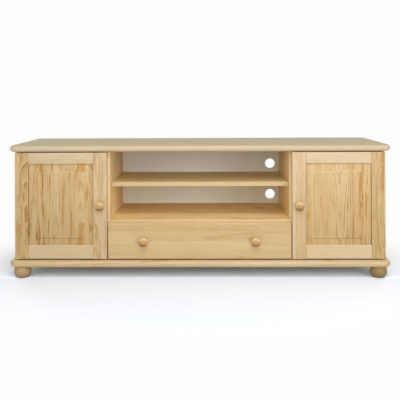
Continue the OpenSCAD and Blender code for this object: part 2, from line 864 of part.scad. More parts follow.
// Room for the drawer bottom, with its groove depth on all four sides.
module drawer_bottom_slot() {
    reach = drawer_wall_t - drawer_groove;
    block([-drawer_box_x + reach, drawer_box_y + reach, drawer_bottom_z],
        [drawer_box_x - reach, drawer_box_y + drawer_box_l - reach, drawer_bottom_z + drawer_bottom_t]);
}

module drawer_bottom() {
    color(hardboard) placed() drawer_bottom_slot();
}

// Drawer side with rounded top edges and the groove for the bottom.
module drawer_side(side) {
    color(pine_light) placed() difference() {
        handed(side) along_y(drawer_box_y, drawer_box_y + drawer_box_l)
            soft_top(drawer_box_x - drawer_wall_t, drawer_box_x, drawer_box_z, drawer_box_z + drawer_wall_h);
        drawer_bottom_slot();
    }
}

// X-Z outline with its two top corners rounded.
module soft_top(x0, x1, z0, z1) {
    r = panel_edge_r;
    translate([x0, z0]) square([x1 - x0, z1 - z0 - r]);
    translate([x0 + r, z0]) square([x1 - x0 - 2 * r, z1 - z0]);
    for (x = [x0 + r, x1 - r]) translate([x, z1 - r]) circle(r);
}

// Cross board of the drawer box between its sides.
module drawer_cross(y0) {
    inner_x = drawer_box_x - drawer_wall_t;
    color(pine_light) placed() difference() {
        along_x(-inner_x, inner_x) rotate(90) mirror([0, 1])
            cross_outline(y0);
        drawer_bottom_slot();
        children();
    }
}

// Section of a cross board, with its height along the first axis.
module cross_outline(y0) {
    r = panel_edge_r;
    z0 = drawer_box_z;
    z1 = drawer_box_z + drawer_wall_h;
    y1 = y0 + drawer_wall_t;
    translate([z0, y0]) square([z1 - z0 - r, y1 - y0]);
    translate([z0, y0 + r]) square([z1 - z0, y1 - y0 - 2 * r]);
    for (y = [y0 + r, y1 - r]) translate([z1 - r, y]) circle(r);
}

module drawer_box_front() {
    drawer_cross(drawer_box_y) {
        drawer_front_screw_set(screw_play);
        for (side = [LEFT, RIGHT])
            bar_y(side * drawer_knob_pitch / 2, drawer_box_y - cut, drawer_knob_z,
                drawer_wall_t + 2 * cut, knob_access_d);
    }
}

module drawer_back() {
    drawer_cross(drawer_box_y + drawer_box_l - drawer_wall_t);
}

module drawer_knob_screws() {
    color(steel) placed() for (side = [LEFT, RIGHT])
        knob_screw(side * drawer_knob_pitch / 2, drawer_knob_z, door_t);
}

top_board();
base_board();
side_panel(LEFT);  // side_panel_left
side_panel(RIGHT);  // side_panel_right
divider(LEFT);  // divider_left
divider(RIGHT);  // divider_right
drawer_deck();
shelf(-bay_x, bay_x, center_shelf_z);  // center_shelf
shelf(-side_in_x, -divider_out_x, side_shelf_z);  // shelf_left
shelf(divider_out_x, side_in_x, side_shelf_z);  // shelf_right
back_panel();
turned_foot(-foot_x, foot_front_y);  // foot_front_left
turned_foot(foot_x, foot_front_y);  // foot_front_right
turned_foot(-foot_x, foot_back_y);  // foot_back_left
turned_foot(foot_x, foot_back_y);  // foot_back_right
foot_bolts();
shelf_pins();
carcass_dowels();
pivot_plates(LEFT);  // pivot_plates_left
pivot_plates(RIGHT);  // pivot_plates_right
magnetic_catches();
cabinet_runner(LEFT);  // runner_left
cabinet_runner(RIGHT);  // runner_right
roller(LEFT, front_roller_x, front_roller_y);  // front_roller_left
roller(RIGHT, front_roller_x, front_roller_y);  // front_roller_right
roller(LEFT, rear_roller_x, rear_roller_y);  // rear_roller_left
roller(RIGHT, rear_roller_x, rear_roller_y);  // rear_roller_right
outer_stile(LEFT);  // door_left_outer_stile
inner_stile(LEFT);  // door_left_inner_stile
top_rail(LEFT);  // door_left_top_rail
bottom_rail(LEFT);  // door_left_bottom_rail
door_panel(LEFT);  // door_left_panel
turned_knob(-knob_x, knob_z);  // door_left_knob
door_knob_screw(LEFT);  // door_left_knob_screw
door_bushes(LEFT);  // door_left_bushes
door_strike(LEFT);  // door_left_strike
outer_stile(RIGHT);  // door_right_outer_stile
inner_stile(RIGHT);  // door_right_inner_stile
top_rail(RIGHT);  // door_right_top_rail
bottom_rail(RIGHT);  // door_right_bottom_rail
door_panel(RIGHT);  // door_right_panel
turned_knob(knob_x, knob_z);  // door_right_knob
door_knob_screw(RIGHT);  // door_right_knob_screw
door_bushes(RIGHT);  // door_right_bushes
door_strike(RIGHT);  // door_right_strike
drawer_front();
drawer_box_front();
drawer_side(LEFT);  // drawer_side_left
drawer_side(RIGHT);  // drawer_side_right
drawer_back();
drawer_bottom();
drawer_rail(LEFT);  // drawer_rail_left
drawer_rail(RIGHT);  // drawer_rail_right
turned_knob(-drawer_knob_pitch / 2, drawer_knob_z);  // drawer_knob_left
turned_knob(drawer_knob_pitch / 2, drawer_knob_z);  // drawer_knob_right
drawer_knob_screws();
drawer_front_screws();
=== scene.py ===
"""Looks of a low pine television cabinet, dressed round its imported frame.

Everything is in metres unless a name ends in _mm. X runs to the right, the front faces
-Y and Z runs up, with the origin on the floor below the middle of the cabinet.
"""

import json
import logging
import math
from dataclasses import dataclass, field, replace
from enum import Enum
from typing import Any, Callable, ClassVar, Sequence

import bpy
import bmesh
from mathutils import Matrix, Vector

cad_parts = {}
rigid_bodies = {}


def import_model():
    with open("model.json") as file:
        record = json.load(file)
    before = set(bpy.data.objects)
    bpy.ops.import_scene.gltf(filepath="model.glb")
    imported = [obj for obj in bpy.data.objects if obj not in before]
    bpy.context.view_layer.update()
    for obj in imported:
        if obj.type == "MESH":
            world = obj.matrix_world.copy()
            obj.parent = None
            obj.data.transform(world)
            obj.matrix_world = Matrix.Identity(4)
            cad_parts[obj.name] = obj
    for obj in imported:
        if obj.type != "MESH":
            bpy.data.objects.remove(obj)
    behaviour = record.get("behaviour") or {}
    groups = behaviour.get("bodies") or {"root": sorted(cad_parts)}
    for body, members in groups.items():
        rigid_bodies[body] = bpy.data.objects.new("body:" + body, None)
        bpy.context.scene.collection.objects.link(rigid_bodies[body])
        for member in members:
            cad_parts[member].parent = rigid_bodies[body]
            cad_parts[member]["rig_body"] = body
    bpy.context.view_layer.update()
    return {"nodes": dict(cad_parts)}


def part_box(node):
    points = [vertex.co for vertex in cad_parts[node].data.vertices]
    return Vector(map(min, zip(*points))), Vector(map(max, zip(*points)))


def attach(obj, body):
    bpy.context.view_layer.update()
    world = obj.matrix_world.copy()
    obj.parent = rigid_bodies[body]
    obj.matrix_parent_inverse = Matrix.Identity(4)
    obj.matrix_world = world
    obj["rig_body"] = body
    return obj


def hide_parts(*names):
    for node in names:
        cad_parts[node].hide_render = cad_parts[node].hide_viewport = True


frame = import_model()

LOG = logging.getLogger("tv_cabinet")
MM = 0.001
PER_METRE = 1000.0
WELD = 1e-6  # points closer than this are one point
MIX_LOW, MIX_HIGH, MIX_RESULT = 6, 7, 2  # the colour sockets of a Mix node
Colour = tuple[float, float, float]
Point = tuple[float, float, float]
Material = bpy.types.Material
Piece = bpy.types.Object


class Axis(Enum):
    """An axis of the object's frame."""

    X = 0
    Y = 1
    Z = 2


class Side(Enum):
    """The left or the right half of the cabinet, seen from the front."""

    LEFT = -1
    RIGHT = 1

    @property
    def word(self) -> str:
        """The side's name in the nodes' names."""
        return self.name.lower()


# Node graphs


def math_method(operation: str, swapped: bool = False) -> Callable[..., "Wire"]:
    """Makes a method of Wire that adds one Math node.

    Args:
        operation: What the node works out.
        swapped: Whether the wire comes after the other value.

    Returns:
        The method, which takes the other values after the wire.
    """

    def method(wire: "Wire", *others: "Wire | float") -> "Wire":
        """Adds a Math node that works on the wire and the other values."""
        values = (*others, wire) if swapped else (wire, *others)
        return wire.graph.node("ShaderNodeMath", dict(enumerate(values)), operation=operation)

    return method


@dataclass(eq=False)
class Wire:
    """An output socket that takes part in plain arithmetic."""

    graph: "Graph"
    socket: bpy.types.NodeSocket | None

    __add__ = __radd__ = math_method("ADD")
    __sub__, __rsub__ = math_method("SUBTRACT"), math_method("SUBTRACT", swapped=True)
    __mul__ = __rmul__ = math_method("MULTIPLY")
    __truediv__ = math_method("DIVIDE")
    __pow__ = math_method("POWER")
    __abs__ = math_method("ABSOLUTE")
    floor, fraction = math_method("FLOOR"), math_method("FRACT")
    sine, cosine = math_method("SINE"), math_method("COSINE")
    root, at_least = math_method("SQRT"), math_method("MAXIMUM")

    def __neg__(self) -> "Wire":
        """The value with its sign turned."""
        return 0.0 - self

    def ramp(self, low: float, high: float, way: str = "LINEAR") -> "Wire":
        """Goes straight from 0 at low to 1 at high."""
        values = {"Value": self, "From Min": low, "From Max": high}
        return self.graph.node("ShaderNodeMapRange", values, interpolation_type=way)

    def rise(self, low: float, high: float) -> "Wire":
        """Goes from 0 at low to 1 at high, with eased ends."""
        return self.ramp(low, high, "SMOOTHSTEP")

    def fall(self, low: float, high: float) -> "Wire":
        """Goes from 1 at low to 0 at high, with eased ends."""
        return 1.0 - self.rise(low, high)

    def out(self, key: str | int) -> "Wire":
        """Another output of the same node."""
        return Wire(self.graph, self.socket.node.outputs[key])

    def split(self) -> tuple["Wire", "Wire", "Wire"]:
        """The three parts of a vector or a colour."""
        parts = self.graph.node("ShaderNodeSeparateXYZ", {"Vector": self})
        return parts, parts.out("Y"), parts.out("Z")

    def scaled(self, amount: "Wire | float") -> "Wire":
        """A vector or a colour times a number."""
        values = {"Vector": self, "Scale": amount}
        return self.graph.node("ShaderNodeVectorMath", values, operation="SCALE")


Value = Wire | float


@dataclass(eq=False)
class Graph:
    """A node tree that is written as Python expressions."""

    tree: bpy.types.NodeTree

    def node(self, kind: str, values: dict[str | int, Any] | None = None, **settings: Any) -> Wire:
        """Adds one node.

        Args:
            kind: The node's type.
            values: Socket names or numbers, with a value, a wire, or a list of wires.
            **settings: The node's own settings, set before its sockets.

        Returns:
            The node's first output.
        """
        made = self.tree.nodes.new(kind)
        for name, value in settings.items():
            setattr(made, name, value)
        for key, value in (values or {}).items():
            for item in value if isinstance(value, list) else [value]:
                if isinstance(item, Wire):
                    self.tree.links.new(item.socket, made.inputs[key])
                else:
                    made.inputs[key].default_value = item
        return Wire(self, made.outputs[0] if made.outputs else None)

    def join(self, x: Value, y: Value, z: Value) -> Wire:
        """A vector made of three values."""
        return self.node("ShaderNodeCombineXYZ", {"X": x, "Y": y, "Z": z})

    def mix(self, amount: Value, low: Wire | Colour, high: Wire | Colour) -> Wire:
        """Blends two colours.

        Args:
            amount: 0 gives the first colour and 1 the second.
            low: The first colour.
            high: The second colour.

        Returns:
            The blended colour.
        """
        low, high = (c if isinstance(c, Wire) else (*c, 1.0) for c in (low, high))
        values = {0: amount, MIX_LOW: low, MIX_HIGH: high}
        return self.node("ShaderNodeMix", values, data_type="RGBA").out(MIX_RESULT)

    def noise(self, place: Wire, detail: float = 2.0, roughness: float = 0.5) -> Wire:
        """Soft noise of unit scale; out("Color") holds three unlike values."""
        values = {"Vector": place, "Scale": 1.0, "Detail": detail, "Roughness": roughness}
        return self.node("ShaderNodeTexNoise", values, noise_dimensions="3D")

    def noise_along(self, value: Wire, detail: float = 1.0) -> Wire:
        """Soft noise along one value."""
        values = {"W": value, "Scale": 1.0, "Detail": detail}
        return self.node("ShaderNodeTexNoise", values, noise_dimensions="1D")

    def dice(self, value: Wire) -> Wire:
        """A chance value for each value; out("Color") holds three."""
        return self.node("ShaderNodeTexWhiteNoise", {"W": value}, noise_dimensions="1D")


class Surface(Graph):
    """The node tree of a material."""

    def __init__(self, name: str) -> None:
        """Makes a material with an empty tree.

        Args:
            name: The material's name.
        """
        self.material = bpy.data.materials.new(name)
        self.material.use_nodes = True
        self.material.node_tree.nodes.clear()
        super().__init__(self.material.node_tree)

    def place(self, centre: Sequence[float] = (0.0, 0.0, 0.0)) -> Wire:
        """Finds the point on the piece.

        Args:
            centre: What the point is counted from, in metres.

        Returns:
            The point in millimetres.
        """
        place = self.node("ShaderNodeTexCoord").out("Object")
        shift = tuple(-c * PER_METRE for c in centre)
        values = {"Vector": place, "Location": shift, "Scale": (PER_METRE,) * 3}
        return self.node("ShaderNodeMapping", values)

    def facing(self) -> tuple[Wire, Wire, Wire]:
        """The three parts of the surface's direction, in the piece's own frame."""
        return self.node("ShaderNodeTexCoord").out("Normal").split()

    def finish(
        self, colour: Wire, roughness: Wire, height: Wire, depth_mm: float, **others: float
    ) -> Material:
        """Ends the tree in a Principled shader.

        Args:
            colour: The base colour.
            roughness: The roughness.
            height: What raises the surface, from 0 to 1.
            depth_mm: How far a height of 1 stands out.
            **others: More of the shader's sockets, with _ for spaces.

        Returns:
            The finished material.
        """
        bump = self.node("ShaderNodeBump", {"Distance": depth_mm * MM, "Height": height})
        values = {key.replace("_", " "): value for key, value in others.items()}
        values |= {"Base Color": colour, "Roughness": roughness, "Normal": bump}
        shader = self.node("ShaderNodeBsdfPrincipled", values)
        self.node("ShaderNodeOutputMaterial", {"Surface": shader})
        return self.material


# Finishes


def times(colour: Colour, factors: Sequence[float]) -> Colour:
    """A colour, each of its parts times a factor."""
    return tuple(part * factor for part, factor in zip(colour, factors))


@dataclass(frozen=True)
class Knot:
    """A knot, with its place in millimetres from the middle of its board."""

    along: float
    across: float
    size: float


@dataclass(frozen=True)
class Stave:
    """A place in a board, in millimetres from its middle, and the stave it falls in."""

    surface: Surface
    along: Wire
    across: Wire
    deep: Wire
    row: Wire
    inside: Wire

    def drawn_out(self, wide: float, long: float, own: Value = 0.0) -> Wire:
        """The place, stretched along the grain for a pattern finer than the stave."""
        return self.surface.join(self.across * wide, self.deep * wide, self.along * long + own)


@dataclass(frozen=True)
class Pine:
    """Lacquered pine, cut as solid wood: its rings run through faces, edges and ends.

    The staves of a board are laid side by side along the spread axis, and each of them
    comes from its own log with its own pith, drift, figure and tone. Sizes are in
    millimetres; figure and streak run from 0 to 1, and warmth shifts the wood to orange.
    Where the board meets another part, the rim on the plus or the minus side of the spread
    axis is darkened: a dark line at the join, with painted shade beside the recessed panel.
    A fade makes the board paler towards the plus end of its grain. Painted light and shade
    make faces that look up paler and faces that look down darker, and a front colour, where
    given, is painted light on the faces that look to the front.
    """

    grain: Axis = Axis.X
    spread: Axis = Axis.Z
    seed: float = 1.0
    stave_mm: float = 70.0
    ring_mm: float = 3.4
    band_mm: float = 7.0
    pith_low_mm: float = 12.0
    pith_more_mm: float = 55.0
    drift: float = 0.06
    wander_mm: float = 18.0
    swirl_mm: float = 60.0
    flow_mm: float = 300.0
    flame_mm: float = 90.0
    cloud_mm: float = 26.0
    cloud_flow_mm: float = 480.0
    flame_wide_mm: float = 16.0
    pore_mm: float = 0.12
    # how much the rim at a join is darkened: a dark line at the join with painted shade beside the
    # recessed panel
    joint: float = 0.0
    joint_mm: float = 1.3
    fade: float = 0.0
    # painted light and shade: how much paler faces that look up are made, and darker those that
    # look down
    relief: float = 0.0
    figure: float = 0.42
    streak: float = 0.5
    warmth: float = 0.0
    tone: float = 1.0
    sheen: float = 0.07
    pale: Colour = (0.550, 0.405, 0.215)
    warm: Colour = (0.512, 0.344, 0.149)
    # painted light: a colour for the faces that look to the front, lighter or darker than the rest
    # of the board
    edge: Colour | None = None
    streaked: Colour = (0.429, 0.242, 0.061)
    late: Colour = (0.330, 0.165, 0.033)
    knotty: Colour = (0.200, 0.100, 0.040)
    roughness: float = 0.48
    knots: tuple[Knot, ...] = ()

    def material(self, node: str) -> Material:
        """Makes the finish for one board.

        Args:
            node: The board, whose middle the pattern is centred on.

        Returns:
            The material.
        """
        low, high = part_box(node)
        half = (high - low) / 2 * PER_METRE
        surface = Surface(f"pine_{node}")
        stave = self._stave(surface, (low + high) / 2)
        along, deep, row = stave.along, stave.deep, stave.row
        halo, core = self._knots(stave)
        # Unlike factors of the row keep the staves' patterns apart
        luck = surface.dice(row * 7.31 + self.seed).out("Color").split()
        figured, ripe, _ = surface.dice(row * 3.17 + self.seed + 50.0).out("Color").split()
        late, band = self._rings(stave, luck, halo)
        wide, long = self.cloud_mm, self.cloud_flow_mm
        cloud = surface.join(stave.inside / wide, deep / wide, along / long + row * 9.0)
        cloud = surface.noise(cloud)
        wide, long = self.flame_wide_mm, self.flame_mm
        sideways = stave.inside / wide + row * 4.3
        flame = surface.join(sideways, deep / wide, along / long + self.seed)
        flame = surface.noise(flame, 4.0, 0.6)
        strength = (0.55 + 0.9 * figured) * (0.25 + 1.1 * flame.rise(0.42, 0.60))

        facing = surface.facing()
        # Painted light and shade: faces that look up are made paler and less ripe, faces that look
        # down darker and riper
        up = facing[Axis.Z.value]
        painted_tilt = (up.rise(0.05, 0.50) - (-up).rise(0.05, 0.50)) * self.relief
        fading = along * (self.fade / half[self.grain.value])
        ripeness = cloud.rise(0.30, 0.70) * 0.7 + ripe * 0.5 + (self.warmth - 0.2)
        ripeness = ripeness - 2.0 * fading - 1.5 * painted_tilt
        colour = surface.mix(ripeness, self.pale, self.warm)
        colour = surface.mix(band * self.streak * strength, colour, self.streaked)
        colour = surface.mix(late * self.figure * strength, colour, self.late)
        end = abs(facing[self.grain.value]).rise(0.60, 0.95)
        colour = surface.mix(end * 0.45, colour, self.late)
        if core is not None:
            colour = surface.mix(halo / 40.0, colour, self.late)
            colour = surface.mix(core, colour, self.knotty)
        # Painted light: the faces that look to the front take their own colour
        if self.edge is not None:
            front = facing[Axis.Y.value].fall(-0.75, -0.45)
            colour = surface.mix(front * 0.8, colour, self.edge)

        fibre = surface.noise(stave.drawn_out(1.5, 0.035), 3.0, 0.6)
        thread = surface.noise(stave.drawn_out(0.30, 0.004, row * 2.1), 2.0, 0.6)
        fleck = surface.noise(stave.drawn_out(0.8, 0.06, row), 1.0).rise(0.68, 0.78)
        shade = self.tone * (0.97 + 0.06 * luck[1]) * (0.95 + 0.10 * fibre)
        shade = shade * (0.90 + 0.20 * thread) * (1.0 + 0.5 * fading) * (1.0 + painted_tilt)
        # A dark line at the join, with painted shade where the frame meets the recessed panel
        if self.joint:
            side = math.copysign(1.0, self.joint)
            inner = (half[self.spread.value] - stave.across * side).rise(0.0, self.joint_mm)
            shade = shade * (1.0 - abs(self.joint) * (1.0 - inner))
        return surface.finish(
            colour.scaled(shade * (1.0 - 0.18 * fleck)),
            self.roughness - 0.08 * late + 0.08 * fibre,
            0.5 * late + 0.5 * fibre,
            self.pore_mm,
            Coat_Weight=self.sheen,
            Coat_Roughness=0.30,
            IOR=1.45,
            Specular_IOR_Level=0.25 + 2.0 * self.sheen,
        )

    def _stave(self, surface: Surface, middle: Vector) -> Stave:
        """Finds the place in a board and in its stave.

        Args:
            surface: The board's surface.
            middle: The board's middle, in metres.

        Returns:
            The place, counted from the board's middle.
        """
        parts = surface.place(middle).split()
        deep_axis = next(a for a in Axis if a not in (self.grain, self.spread))
        along, across, deep = (parts[a.value] for a in (self.grain, self.spread, deep_axis))
        shifted = across / self.stave_mm + self.seed * 0.37
        row = shifted.floor()
        inside = (shifted - row - 0.5) * self.stave_mm
        return Stave(surface, along, across, deep, row, inside)

    def _rings(self, stave: Stave, luck: Sequence[Wire], halo: Value) -> tuple[Wire, Wire]:
        """Cuts a stave from its own log.

        Args:
            stave: The place in the board.
            luck: Three chance values that the stave shares.
            halo: How far the rings give way round the knots.

        Returns:
            The dark late wood that ends each ring, and the broad bands of warm rings.
        """
        surface, row, wide = stave.surface, stave.row, self.swirl_mm
        flow = stave.along / self.flow_mm + row * 3.7
        drifting = surface.join(stave.across / wide, stave.deep / wide, flow)
        sway = surface.noise(drifting, 4.0, 0.55).out("Color").split()
        pith_across = (luck[0] - 0.5) * self.stave_mm * 0.9
        from_pith = stave.inside + pith_across + (sway[0] - 0.5) * self.wander_mm
        below_pith = (
            stave.deep
            + self.pith_low_mm
            + luck[1] * self.pith_more_mm
            + (luck[2] - 0.5) * 2.0 * self.drift * stave.along
            + (sway[1] - 0.5) * self.wander_mm
            + halo
        )
        radius = (from_pith * from_pith + below_pith * below_pith).root()
        uneven = surface.noise_along(radius / (self.ring_mm * 5.0) + row * 3.3)
        turns = radius / self.ring_mm + 2.0 * uneven
        phase = turns.fraction()
        ring_luck = surface.dice(turns.floor() * 1.7 + row * 9.1 + self.seed)
        late = phase.rise(0.30, 0.90) * phase.fall(0.90, 1.0)
        late = late * (0.20 + 0.80 * ring_luck * ring_luck)
        band = surface.noise_along(radius / self.band_mm + row * 5.7 + self.seed, 2.0)
        return late, band.rise(0.52, 0.66)

    def _knots(self, stave: Stave) -> tuple[Value, Wire | None]:
        """Adds the knots.

        Args:
            stave: The place in the board.

        Returns:
            How far the rings give way round the knots, and the knots' dark cores.
        """
        halo: Value = 0.0
        core: Wire | None = None
        for knot in self.knots:
            up = (stave.along - knot.along) / 1.35
            out = stave.across - knot.across
            away = (up * up + out * out).root() / knot.size
            heart = away.fall(0.70, 1.0)
            halo = away.fall(0.8, 3.2) * (knot.size * 1.6) + halo
            core = heart if core is None else core.at_least(heart)
        return halo, core


@dataclass(frozen=True)
class Hardboard:
    """Hardboard with a pale painted face and a brown back with the mark of its screen."""

    # The painted face is given a paler colour than it has, as painted light in the shaded bays
    paint: Colour = (0.900, 0.850, 0.730)
    raw: Colour = (0.260, 0.150, 0.080)
    raw_pale: Colour = (0.340, 0.210, 0.120)
    pitch_mm: float = 1.1
    screen_mm: float = 0.15

    def material(self, node: str) -> Material:
        """Makes the finish for one sheet.

        Args:
            node: The sheet, whose painted face is its front or its top.

        Returns:
            The material.
        """
        surface = Surface(f"hardboard_{node}")
        place = surface.place()
        x, y, z = place.split()
        facing = surface.facing()
        front = facing[Axis.Y.value].fall(-0.75, -0.45)
        painted = front.at_least(facing[Axis.Z.value].rise(0.45, 0.75))
        speck = surface.noise(place.scaled(0.9), 3.0, 0.6)
        cloud = surface.noise(place.scaled(0.012), 3.0)
        wires = (x * (math.tau / self.pitch_mm)).sine()
        across = ((y + z) * (math.tau / self.pitch_mm)).sine()
        screen = (wires * across * 0.5 + 0.5) * (1.0 - painted)
        raw = surface.mix(speck.rise(0.35, 0.75), self.raw, self.raw_pale)
        paint = surface.mix(cloud.rise(0.3, 0.7), self.paint, times(self.paint, (0.95,) * 3))
        colour = surface.mix(painted, raw, paint)
        roughness = 0.82 - 0.30 * painted + 0.06 * speck
        return surface.finish(colour, roughness, screen + 0.25 * speck, self.screen_mm)


@dataclass(frozen=True)
class Metal:
    """Plated steel, drawn or rolled along one axis."""

    colour: Colour = (0.600, 0.605, 0.600)
    roughness: float = 0.32
    drawn: Axis = Axis.X
    dulled: Colour = (1.0, 0.97, 0.88)
    line_mm: float = 0.03

    def material(self, node: str) -> Material:
        """Makes the finish for one fitting, with fine lines along the way it was drawn.

        Args:
            node: The fitting.

        Returns:
            The material.
        """
        surface = Surface(f"plated_steel_{node}")
        place = surface.place()
        fine = (p * (0.08 if a is self.drawn else 3.0) for a, p in zip(Axis, place.split()))
        lines = surface.noise(surface.join(*fine), 3.0)
        cloud = surface.noise(place.scaled(0.11), 3.0)
        tint = surface.mix(cloud.rise(0.35, 0.70), self.colour, times(self.colour, self.dulled))
        colour = tint.scaled(0.88 + 0.18 * lines)
        roughness = self.roughness + 0.16 * lines + 0.08 * cloud
        return surface.finish(colour, roughness, lines, self.line_mm, Metallic=1.0)


@dataclass(frozen=True)
class Moulded:
    """Moulded plastic or a sprayed and baked coat, with a fine skin."""

    name: str
    colour: Colour
    roughness: float = 0.45
    skin_mm: float = 1.2
    depth_mm: float = 0.02
    coat: float = 0.0

    def material(self, node: str) -> Material:
        """Makes the finish for one fitting, with its skin and its slow shifts of tone.

        Args:
            node: The fitting.

        Returns:
            The material.
        """
        surface = Surface(f"{self.name}_{node}")
        place = surface.place()
        skin = surface.noise(place.scaled(1.0 / self.skin_mm), 2.0, 0.6)
        cloud = surface.noise(place.scaled(0.03), 3.0)
        colour = surface.mix(cloud.rise(0.3, 0.7), self.colour, times(self.colour, (0.93,) * 3))
        colour = colour.scaled(0.97 + 0.06 * skin)
        roughness = self.roughness - 0.06 * cloud + 0.10 * skin
        coat = {"Coat_Weight": self.coat, "Coat_Roughness": 0.15}
        return surface.finish(colour, roughness, skin, self.depth_mm, **coat)


ZINC = Metal()
YELLOW_ZINC = Metal((0.480, 0.370, 0.170), 0.40)
ENAMEL = Moulded("enamel", (0.760, 0.745, 0.690), 0.34, 1.6, 0.03, 0.3)
NYLON = Moulded("nylon", (0.740, 0.735, 0.700), 0.48, 0.7, 0.01)
CATCH = Moulded("moulded_beige", (0.620, 0.540, 0.420), 0.50, 0.5, 0.02)
BEECH = Pine(
    grain=Axis.Z, spread=Axis.X, figure=0.15, streak=0.2, ring_mm=1.6,
    pale=(0.560, 0.390, 0.230), warm=(0.520, 0.350, 0.200),
)


def dress(node: str, finish: Pine | Hardboard | Metal | Moulded) -> None:
    """Gives a node of the frame its finish in place of the plain one.

    Args:
        node: The node.
        finish: Its finish.
    """
    made = finish.material(node)
    for place in frame["nodes"][node].material_slots:
        place.material = made
    LOG.info("%s: dressed as %s", node, type(finish).__name__.lower())


# Geometry trees


def put(name: str, data: bpy.types.ID) -> Piece:
    """Adds an object to the scene, at the origin.

    Args:
        name: The object's name.
        data: Its mesh, lamp or camera.

    Returns:
        The object.
    """
    made = bpy.data.objects.new(name, data)
    bpy.context.scene.collection.objects.link(made)
    return made


@dataclass(frozen=True)
class Spot:
    """Where a screw, a brad or a turned piece sits, and which way it faces."""

    place: Point
    facing: Point

    def mirrored(self) -> "Spot":
        """The same spot on the other side of the cabinet."""
        return Spot(*((0.0 - x, y, z) for x, y, z in (self.place, self.facing)))


def both(spots: list[Spot]) -> list[Spot]:
    """The spots of the right side, after the same spots on the left."""
    return [spot.mirrored() for spot in spots] + spots


def spots_mesh(name: str, spots: list[Spot]) -> bpy.types.Mesh:
    """Makes a mesh of loose points that carries the way each of them faces.

    Args:
        name: The mesh's name.
        spots: The points.

    Returns:
        The mesh.
    """
    mesh = bpy.data.meshes.new(name)
    mesh.from_pydata([s.place for s in spots], [], [])
    facing = mesh.attributes.new("facing", "FLOAT_VECTOR", "POINT")
    facing.data.foreach_set("vector", [c for s in spots for c in s.facing])
    return mesh


class Shape(Graph):
    """A geometry tree with named inputs, which grows a plain mesh on a mesh of spots."""

    KINDS: ClassVar[dict[type, str]] = {float: "NodeSocketFloat", int: "NodeSocketInt"}
    NAME: ClassVar[str]
    SIZES: ClassVar[dict[str, float | int]]  # the named inputs with their usual values
    STEPS: ClassVar[tuple[int, int]]  # rings from end to end, and points round each ring

    def __init__(self) -> None:
        """Builds the tree, from its inputs to one mesh with its finish."""
        super().__init__(bpy.data.node_groups.new(self.NAME, "GeometryNodeTree"))
        self.keys: dict[str, str] = {}
        kinds = {label: self.KINDS[type(value)] for label, value in self.SIZES.items()}
        kinds = {"Start": "NodeSocketGeometry", **kinds, "Finish": "NodeSocketMaterial"}
        for label, kind in kinds.items():
            made = self.tree.interface.new_socket(label, in_out="INPUT", socket_type=kind)
            self.keys[label] = made.identifier
            if label in self.SIZES:
                made.default_value = self.SIZES[label]
        self.tree.interface.new_socket("Shape", in_out="OUTPUT", socket_type=kinds["Start"])
        self.given = self.node("NodeGroupInput")
        whole = self.node("GeometryNodeRealizeInstances", {"Geometry": self.instances()})
        values = {"Geometry": whole, "Material": self.input("Finish")}
        self.node("NodeGroupOutput", {"Shape": self.node("GeometryNodeSetMaterial", values)})

    def input(self, label: str) -> Wire:
        """The wire of a named input."""
        return self.given.out(label)

    def instances(self) -> Wire:
        """The body on each spot."""
        return self.placed(self.revolved())

    def outline(self, u: Wire) -> tuple[Wire, Wire]:
        """The radius and the height for a wire that runs from 0 to 1."""
        raise NotImplementedError

    def revolved(self) -> Wire:
        """Turns the outline about Z.

        Returns:
            The mesh, whose seam and poles are closed.
        """
        steps, around = self.STEPS
        sizes = {"Size X": 1.0, "Size Y": 1.0, "Vertices X": steps, "Vertices Y": around + 1}
        grid = self.node("GeometryNodeMeshGrid", sizes)
        u, v, _ = self.node("GeometryNodeInputPosition").split()
        radius, height = self.outline(u + 0.5)
        angle = (v + 0.5) * math.tau
        place = self.join(radius * angle.cosine(), radius * angle.sine(), height)
        moved = self.node("GeometryNodeSetPosition", {"Geometry": grid, "Position": place})
        return self.node("GeometryNodeMergeByDistance", {"Geometry": moved, "Distance": WELD})

    def mark(self, height: Wire) -> Wire:
        """The fine ridges that the tool leaves along a turned piece."""
        return (height / self.input("Tool Pitch") * math.tau).sine() * self.input("Tool Mark")

    def placed(self, body: Wire) -> Wire:
        """Sets a body on each spot.

        Args:
            body: The body, whose Z goes along the way the spot faces.

        Returns:
            The instances.
        """
        points = self.node("GeometryNodeMeshToPoints", {"Mesh": self.input("Start")})
        named = "GeometryNodeInputNamedAttribute"
        way = self.node(named, {"Name": "facing"}, data_type="FLOAT_VECTOR")
        aim = self.node("FunctionNodeAlignRotationToVector", {"Vector": way}, axis="Z")
        values = {"Points": points, "Instance": body, "Rotation": aim}
        return self.node("GeometryNodeInstanceOnPoints", values)

    def grow(
        self, name: str, spots: list[Spot], finish: Material, body: str, slot: str, **sizes: float
    ) -> Piece:
        """Grows a piece and sets it on its body.

        Args:
            name: The piece's name.
            spots: Where its bodies sit.
            finish: The piece's material.
            body: The body that carries the piece.
            slot: The record's material slot, which is not used.
            **sizes: Inputs that differ from their usual values, with _ for spaces.

        Returns:
            The finished piece.
        """
        piece = put(name, spots_mesh(name, spots))
        modifier = piece.modifiers.new("shape", "NODES")
        modifier.node_group = self.tree
        modifier[self.keys["Finish"]] = finish
        for label, value in sizes.items():
            modifier[self.keys[label.replace("_", " ")]] = value
        graph = bpy.context.evaluated_depsgraph_get()
        mesh = bpy.data.meshes.new_from_object(piece.evaluated_get(graph))
        piece.modifiers.remove(modifier)
        piece.data = mesh
        return settle(piece, body)


def settle(piece: Piece, body: str, smooth_deg: float = 35.0) -> Piece:
    """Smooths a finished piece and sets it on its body.

    Args:
        piece: The piece, at the origin with its place in its mesh.
        body: The body that carries it.
        smooth_deg: Edges sharper than this angle stay sharp.

    Returns:
        The piece.
    """
    piece.data.shade_smooth()
    piece.data.set_sharp_from_angle(angle=math.radians(smooth_deg))
    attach(piece, body)
    LOG.info("%s: %d faces, rides on %s", piece.name, len(piece.data.polygons), body)
    return piece


